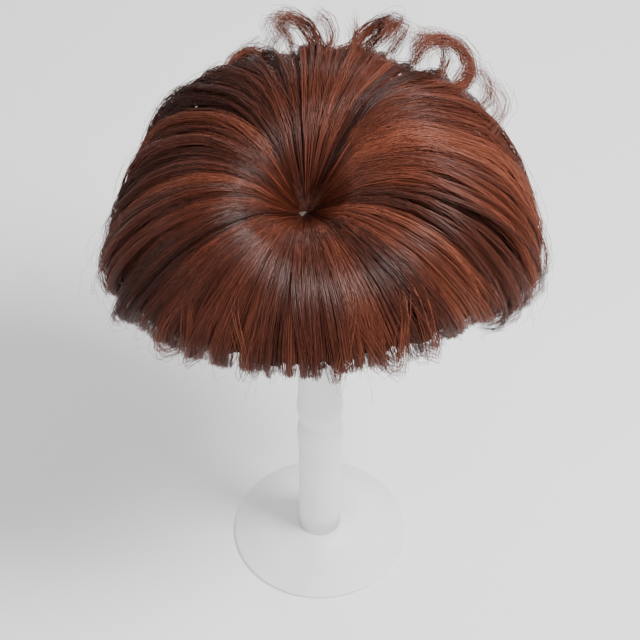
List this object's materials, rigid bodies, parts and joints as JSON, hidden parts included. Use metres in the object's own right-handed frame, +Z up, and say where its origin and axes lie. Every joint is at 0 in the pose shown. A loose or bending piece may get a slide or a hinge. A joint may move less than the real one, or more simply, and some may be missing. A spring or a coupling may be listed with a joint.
{
  "type": "hair topper on a stand",
  "caption": "Short layered hair topper with a see-through fringe, lace cap and snap comb clips, resting on a plain round post stand.",
  "frame": {"origin": "middle of the foot's flat underside", "axes": "+Z up along the post, -Y towards the fringe, +X to the viewer's right from the front"},
  "size_m": [0.2748, 0.2495, 0.4093],
  "materials": {
    "hair": "soft straight fibre with a satin shine",
    "weft": "fibre sewn to a thread strip",
    "lace": "floral lace",
    "mono": "fine sheer net",
    "tape": "woven binding tape",
    "elastic": "ribbed elastic",
    "clip_steel": "dark brushed",
    "stand": "smooth white"
  },
  "bodies": {
    "topper_and_stand": {"stand_foot": "stand", "stand_post": "stand", "stand_knob": "stand", "lace_lining": "lace", "mono_top": "mono", "edge_binding": "tape", "elastic_band": "elastic", "weft_outer": "weft", "weft_inner": "weft", "lace_tab_1": "lace", "lace_tab_2": "lace", "lace_tab_3": "lace", "lace_tab_4": "lace", "lace_tab_5": "lace", "lace_tab_6": "lace", "lace_tab_7": "lace", "lace_tab_8": "lace", "clip_frame_left": "clip_steel", "clip_frame_right": "clip_steel", "clip_frame_back": "clip_steel", "hair_fringe": "hair", "hair_right": "hair", "hair_right_back": "hair", "hair_tuft": "hair", "hair_left_back": "hair", "hair_left": "hair"},
    "comb_left": {"clip_comb_left": "clip_steel"},
    "comb_right": {"clip_comb_right": "clip_steel"},
    "comb_back": {"clip_comb_back": "clip_steel"}
  },
  "joints": [
    {"name": "clip_left_snap", "type": "hinge", "parent": "topper_and_stand", "child": "comb_left", "pos_m": [-0.03933, -0.05885, 0.33652], "axis": [-0.9305, 0, -0.3662], "range_deg": [0, 45]},
    {"name": "clip_right_snap", "type": "hinge", "parent": "topper_and_stand", "child": "comb_right", "pos_m": [0.03933, -0.05885, 0.33652], "axis": [-0.9305, 0, 0.3662], "range_deg": [0, 45]},
    {"name": "clip_back_snap", "type": "hinge", "parent": "topper_and_stand", "child": "comb_back", "pos_m": [0, 0.06688, 0.3439], "axis": [1, 0, 0], "range_deg": [0, 45]}
  ]
}
